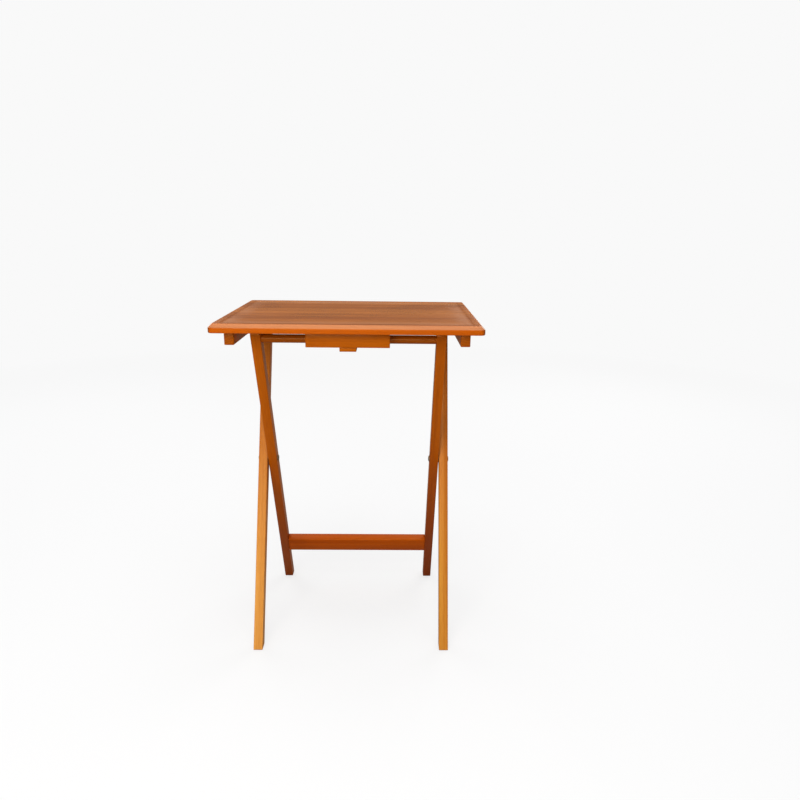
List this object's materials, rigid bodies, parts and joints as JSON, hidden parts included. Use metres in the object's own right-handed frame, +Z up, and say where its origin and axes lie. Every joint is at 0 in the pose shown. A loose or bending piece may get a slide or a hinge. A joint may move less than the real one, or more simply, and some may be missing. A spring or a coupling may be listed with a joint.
{
  "type": "folding tray table",
  "caption": "Folding wooden tray table: a flat top hinged to crossed legs, held open by a catch under the front edge.",
  "frame": {"origin": "on the floor, under the centre of the table top", "axes": "+Z up, -Y towards the front edge with the catch, +X to the right"},
  "size_m": [0.48, 0.344, 0.664],
  "materials": {
    "top_wood": "gloss",
    "under_wood": "satin",
    "leg_wood": "gloss",
    "peg_wood": "matte",
    "bolt_steel": "satin",
    "screw_steel": "satin"
  },
  "bodies": {
    "outer_frame": {"left_outer_leg": "leg_wood", "right_outer_leg": "leg_wood", "left_pivot_bolt": "bolt_steel", "right_pivot_bolt": "bolt_steel", "left_pivot_washer": "bolt_steel", "right_pivot_washer": "bolt_steel", "left_cap_nut": "bolt_steel", "right_cap_nut": "bolt_steel", "left_hinge_bolt": "bolt_steel", "right_hinge_bolt": "bolt_steel", "left_hinge_washer": "bolt_steel", "right_hinge_washer": "bolt_steel"},
    "inner_frame": {"left_inner_leg": "leg_wood", "right_inner_leg": "leg_wood", "top_dowel": "leg_wood", "lower_stretcher": "leg_wood", "stretcher_pins": "peg_wood"},
    "top": {"table_top": "top_wood", "left_cleat": "under_wood", "right_cleat": "under_wood", "cleat_screws": "screw_steel", "catch_block": "under_wood", "block_screws": "screw_steel", "catch_tongue": "under_wood", "tongue_screws": "screw_steel"}
  },
  "joints": [
    {"name": "leg_fold", "type": "hinge", "parent": "outer_frame", "child": "inner_frame", "pos_m": [0, -0.00569, 0.3571], "axis": [-1, 0, 0], "range_deg": [0, 42.5]},
    {"name": "top_tilt", "type": "hinge", "parent": "outer_frame", "child": "top", "pos_m": [0, 0.1035, 0.634], "axis": [-1, 0, 0], "range_deg": [0, 21.25]}
  ],
  "couplings": [
    {"joint": "top_tilt", "follows": "leg_fold", "ratio": 0.5}
  ]
}
